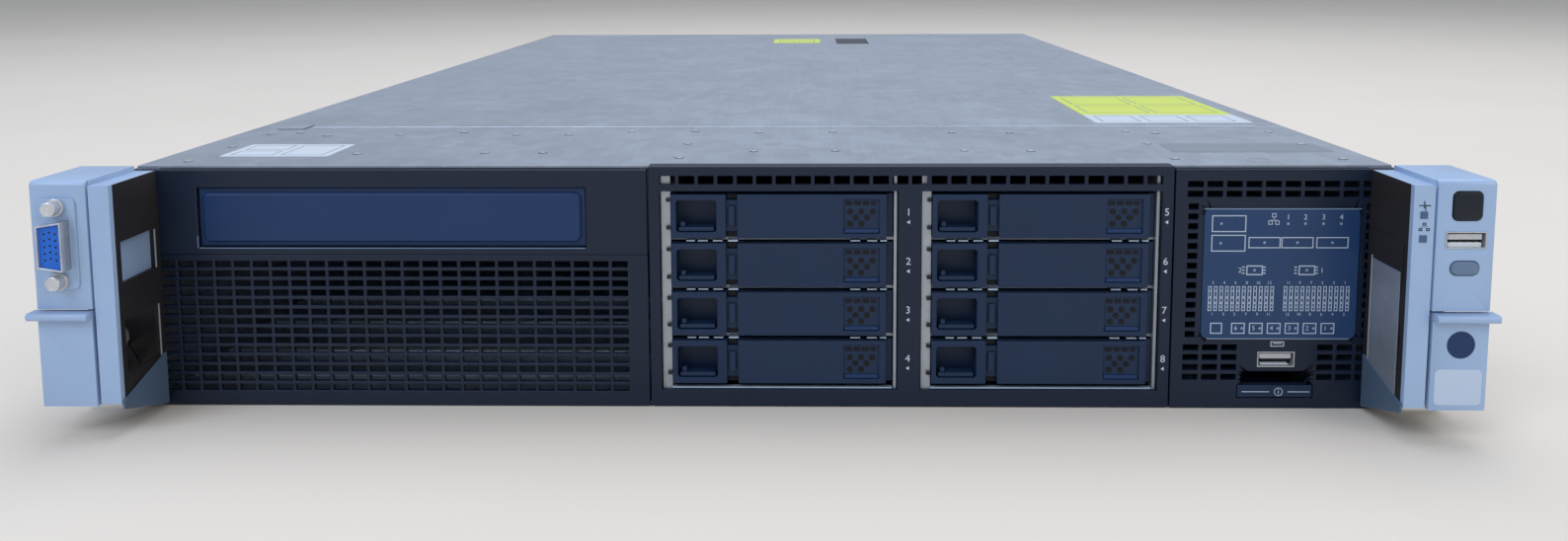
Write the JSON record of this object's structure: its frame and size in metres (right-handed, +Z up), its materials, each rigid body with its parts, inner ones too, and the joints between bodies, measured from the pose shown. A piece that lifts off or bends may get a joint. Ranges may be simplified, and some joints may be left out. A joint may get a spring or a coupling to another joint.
{
  "type": "rack server",
  "caption": "Two-unit rack server with sliding hood, perforated bezels, pull-out drive fillers, levered ears, spinning fans and two slide-in power supplies.",
  "frame": {"origin": "bottom of the chassis, at its middle, in the plane of the front bezels, which is the front plane of the rack posts", "axes": "+X to the right of someone facing the server, +Y from front to rear, +Z up"},
  "size_m": [0.4858, 0.7565, 0.088],
  "materials": {
    "galvanised_steel": "satin zinc-coated sheet",
    "black_powder_coat": "fine-textured powder coat",
    "black_plastic": "fine spark texture",
    "display_plastic": "smooth moulded",
    "ear_plastic": "silver-grey moulded",
    "bracket_steel": "dark coated sheet",
    "plated_steel": "plated",
    "blue_plastic": "moulded insulator",
    "clear_lens": "frosted lens",
    "button_plastic": "moulded",
    "circuit_board": "solder-masked board",
    "aluminium_fins": "extruded",
    "duct_plastic": "moulded",
    "fan_plastic": "glass-filled",
    "release_plastic": "moulded touch point"
  },
  "bodies": {
    "root": {"air_baffle": "duct_plastic", "chassis_tray": "galvanised_steel", "display_bay_bezel": "black_powder_coat", "display_panel": "display_plastic", "drive_backplane": "circuit_board", "drive_bay_bezel": "black_powder_coat", "drive_cage": "galvanised_steel", "ear_brackets": "bracket_steel", "fan_cage": "galvanised_steel", "fan_frames": "fan_plastic", "front_top_cover": "galvanised_steel", "front_usb_ports": "plated_steel", "indicator_lenses": "clear_lens", "left_ear_cap": "ear_plastic", "media_bay_frame": "black_powder_coat", "media_bay_grille": "black_powder_coat", "memory_modules": "circuit_board", "memory_sockets": "duct_plastic", "network_jacks": "plated_steel", "processor_heatsinks": "aluminium_fins", "rack_screws": "plated_steel", "rail_studs": "plated_steel", "rear_panel": "galvanised_steel", "rear_ports": "plated_steel", "right_ear_cap": "ear_plastic", "riser_cages": "galvanised_steel", "slot_covers": "galvanised_steel", "supply_bay": "galvanised_steel", "system_board": "circuit_board", "video_connector": "plated_steel", "video_insert": "blue_plastic"},
    "access_panel": {"access_panel": "galvanised_steel", "latch_housing": "duct_plastic"},
    "hood_latch": {"hood_latch": "release_plastic"},
    "left_lever": {"left_lever": "ear_plastic"},
    "right_lever": {"right_lever": "ear_plastic"},
    "power_button": {"power_button": "button_plastic"},
    "locator_button": {"locator_button": "button_plastic"},
    "info_tab": {"info_tab": "black_plastic"},
    "media_bay_blank": {"media_bay_blank": "black_plastic"},
    "drive_blank_1": {"drive_blank_1": "black_plastic"},
    "drive_blank_2": {"drive_blank_2": "black_plastic"},
    "drive_blank_3": {"drive_blank_3": "black_plastic"},
    "drive_blank_4": {"drive_blank_4": "black_plastic"},
    "drive_blank_5": {"drive_blank_5": "black_plastic"},
    "drive_blank_6": {"drive_blank_6": "black_plastic"},
    "drive_blank_7": {"drive_blank_7": "black_plastic"},
    "drive_blank_8": {"drive_blank_8": "black_plastic"},
    "fan_rotor_1": {"fan_rotor_1": "fan_plastic"},
    "fan_rotor_2": {"fan_rotor_2": "fan_plastic"},
    "fan_rotor_3": {"fan_rotor_3": "fan_plastic"},
    "fan_rotor_4": {"fan_rotor_4": "fan_plastic"},
    "fan_rotor_5": {"fan_rotor_5": "fan_plastic"},
    "fan_rotor_6": {"fan_rotor_6": "fan_plastic"},
    "supply_1": {"supply_1": "plated_steel"},
    "supply_2": {"supply_2": "plated_steel"},
    "supply_latch_1": {"supply_latch_1": "release_plastic"},
    "supply_latch_2": {"supply_latch_2": "release_plastic"},
    "supply_rotor_1": {"supply_rotor_1": "fan_plastic"},
    "supply_rotor_2": {"supply_rotor_2": "fan_plastic"}
  },
  "joints": [
    {"name": "hood_slide", "type": "slide", "parent": "root", "child": "access_panel", "axis": [0, 1, 0], "range_m": [0, 0.013]},
    {"name": "hood_latch_lift", "type": "hinge", "parent": "access_panel", "child": "hood_latch", "pos_m": [0.0575, 0.638, 0.084], "axis": [-1, 0, 0], "range_deg": [0, 75.5]},
    {"name": "left_lever_turn", "type": "hinge", "parent": "root", "child": "left_lever", "pos_m": [-0.2317, -0.0238, 0.0149], "axis": [1, 0, 0], "range_deg": [0, 55]},
    {"name": "right_lever_turn", "type": "hinge", "parent": "root", "child": "right_lever", "pos_m": [0.2317, -0.0238, 0.0149], "axis": [1, 0, 0], "range_deg": [0, 55]},
    {"name": "power_button_press", "type": "slide", "parent": "root", "child": "power_button", "axis": [0, 1, 0], "range_m": [0, 0.0009], "stiffness_N_per_m": 60, "springref_m": -0.002},
    {"name": "locator_button_press", "type": "slide", "parent": "root", "child": "locator_button", "axis": [0, 1, 0], "range_m": [0, 0.0009], "stiffness_N_per_m": 60, "springref_m": -0.002},
    {"name": "info_tab_pull", "type": "slide", "parent": "root", "child": "info_tab", "axis": [0, -1, 0], "range_m": [0, 0.075]},
    {"name": "media_bay_blank_pull", "type": "slide", "parent": "root", "child": "media_bay_blank", "axis": [0, -1, 0], "range_m": [0, 0.046]},
    {"name": "drive_blank_1_pull", "type": "slide", "parent": "root", "child": "drive_blank_1", "axis": [0, -1, 0], "range_m": [0, 0.082]},
    {"name": "drive_blank_2_pull", "type": "slide", "parent": "root", "child": "drive_blank_2", "axis": [0, -1, 0], "range_m": [0, 0.082]},
    {"name": "drive_blank_3_pull", "type": "slide", "parent": "root", "child": "drive_blank_3", "axis": [0, -1, 0], "range_m": [0, 0.082]},
    {"name": "drive_blank_4_pull", "type": "slide", "parent": "root", "child": "drive_blank_4", "axis": [0, -1, 0], "range_m": [0, 0.082]},
    {"name": "drive_blank_5_pull", "type": "slide", "parent": "root", "child": "drive_blank_5", "axis": [0, -1, 0], "range_m": [0, 0.082]},
    {"name": "drive_blank_6_pull", "type": "slide", "parent": "root", "child": "drive_blank_6", "axis": [0, -1, 0], "range_m": [0, 0.082]},
    {"name": "drive_blank_7_pull", "type": "slide", "parent": "root", "child": "drive_blank_7", "axis": [0, -1, 0], "range_m": [0, 0.082]},
    {"name": "drive_blank_8_pull", "type": "slide", "parent": "root", "child": "drive_blank_8", "axis": [0, -1, 0], "range_m": [0, 0.082]},
    {"name": "fan_rotor_1_spin", "type": "hinge", "parent": "root", "child": "fan_rotor_1", "pos_m": [-0.17, 0.244, 0.036], "axis": [0, 1, 0], "continuous": true},
    {"name": "fan_rotor_2_spin", "type": "hinge", "parent": "root", "child": "fan_rotor_2", "pos_m": [-0.102, 0.244, 0.036], "axis": [0, 1, 0], "continuous": true},
    {"name": "fan_rotor_3_spin", "type": "hinge", "parent": "root", "child": "fan_rotor_3", "pos_m": [-0.034, 0.244, 0.036], "axis": [0, 1, 0], "continuous": true},
    {"name": "fan_rotor_4_spin", "type": "hinge", "parent": "root", "child": "fan_rotor_4", "pos_m": [0.034, 0.244, 0.036], "axis": [0, 1, 0], "continuous": true},
    {"name": "fan_rotor_5_spin", "type": "hinge", "parent": "root", "child": "fan_rotor_5", "pos_m": [0.102, 0.244, 0.036], "axis": [0, 1, 0], "continuous": true},
    {"name": "fan_rotor_6_spin", "type": "hinge", "parent": "root", "child": "fan_rotor_6", "pos_m": [0.17, 0.244, 0.036], "axis": [0, 1, 0], "continuous": true},
    {"name": "supply_1_pull", "type": "slide", "parent": "root", "child": "supply_1", "axis": [0, 1, 0], "range_m": [0, 0.19]},
    {"name": "supply_latch_1_press", "type": "hinge", "parent": "supply_1", "child": "supply_latch_1", "pos_m": [-0.1389, 0.7017, 0.0218], "axis": [0, 0, 1], "range_deg": [0, 14], "stiffness_Nm_per_rad": 0.005, "springref_deg": -11.46},
    {"name": "supply_rotor_1_spin", "type": "hinge", "parent": "supply_1", "child": "supply_rotor_1", "pos_m": [-0.1953, 0.6815, 0.0218], "axis": [0, 1, 0], "continuous": true},
    {"name": "supply_2_pull", "type": "slide", "parent": "root", "child": "supply_2", "axis": [0, 1, 0], "range_m": [0, 0.19]},
    {"name": "supply_latch_2_press", "type": "hinge", "parent": "supply_2", "child": "supply_latch_2", "pos_m": [-0.1389, 0.7017, 0.0632], "axis": [0, 0, 1], "range_deg": [0, 14], "stiffness_Nm_per_rad": 0.005, "springref_deg": -11.46},
    {"name": "supply_rotor_2_spin", "type": "hinge", "parent": "supply_2", "child": "supply_rotor_2", "pos_m": [-0.1953, 0.6815, 0.0632], "axis": [0, 1, 0], "continuous": true}
  ],
  "couplings": [
    {"joint": "hood_latch_lift", "follows": "hood_slide", "rad_per_m": 100.69}
  ]
}
